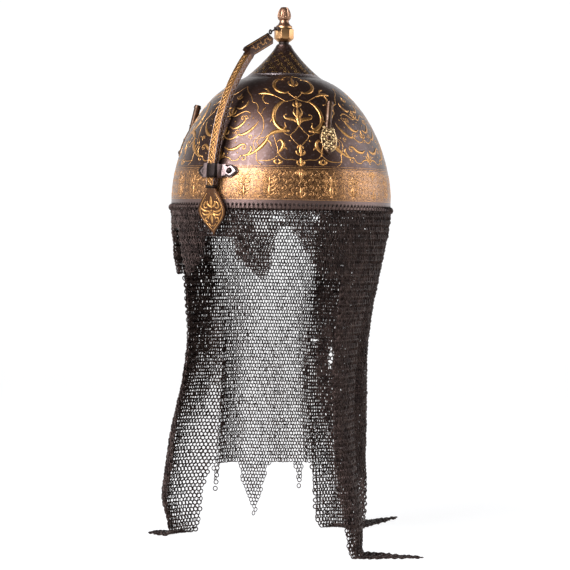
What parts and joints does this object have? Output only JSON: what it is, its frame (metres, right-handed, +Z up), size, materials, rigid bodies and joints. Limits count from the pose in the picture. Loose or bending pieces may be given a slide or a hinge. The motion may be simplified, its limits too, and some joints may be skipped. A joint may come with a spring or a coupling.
{
  "type": "kulah khud helmet",
  "caption": "Domed steel helmet with a spired top, a sliding nasal bar in a bracket, plume tubes, a turned finial and a hanging curtain of mail.",
  "frame": {"origin": "centre of the head opening, in the plane of the rim's lower edge", "axes": "+Z up along the helmet's axis to the finial, -Y towards the nasal at the front, +X to the wearer's left"},
  "size_m": [0.2838, 0.3325, 0.5157],
  "materials": {
    "gilt_steel": "russet brown steel, overlaid with gold scrollwork",
    "nasal_steel": "russet steel, closely overlaid with gold",
    "plume_steel": "russet steel with gold lines",
    "bright_steel": "worn bright steel with a dark raised strap",
    "gilt_brass": "turned and gilt, softly polished",
    "dark_iron": "blackened iron",
    "mail_iron": "browned iron wire rings"
  },
  "bodies": {
    "helmet": {"skull": "gilt_steel", "finial_neck": "dark_iron", "finial_knob": "gilt_brass", "finial_bud": "gilt_brass", "finial_stem": "dark_iron", "finial_washer": "dark_iron", "finial_nut": "dark_iron", "nasal_bracket": "bright_steel", "bracket_rivets": "dark_iron", "catch_eye": "dark_iron", "catch_pin": "dark_iron", "plume_plate_left": "plume_steel", "plume_plate_right": "plume_steel", "plume_tube_left": "plume_steel", "plume_tube_right": "plume_steel", "plume_rivets_left": "dark_iron", "plume_rivets_right": "dark_iron", "hanging_rings": "mail_iron", "mail_veil_left": "mail_iron", "mail_veil_right": "mail_iron", "mail_flap_left": "mail_iron", "mail_flap_right": "mail_iron", "mail_neck_left": "mail_iron", "mail_neck_right": "mail_iron", "mail_nape_left": "mail_iron", "mail_nape_right": "mail_iron", "mail_back_flap": "mail_iron"},
    "nasal": {"nasal_bar": "nasal_steel", "nasal_leaf": "nasal_steel", "nasal_terminal": "nasal_steel"},
    "catch": {"nasal_catch": "dark_iron"}
  },
  "joints": [
    {"name": "nasal_slide", "type": "hinge", "parent": "helmet", "child": "nasal", "pos_m": [0, 0.062, 0.018], "axis": [1, 0, 0], "range_deg": [0, 35]},
    {"name": "catch_swing", "type": "hinge", "parent": "helmet", "child": "catch", "pos_m": [0, -0.01207, 0.17204], "axis": [-1, 0, 0], "range_deg": [0, 100]}
  ]
}
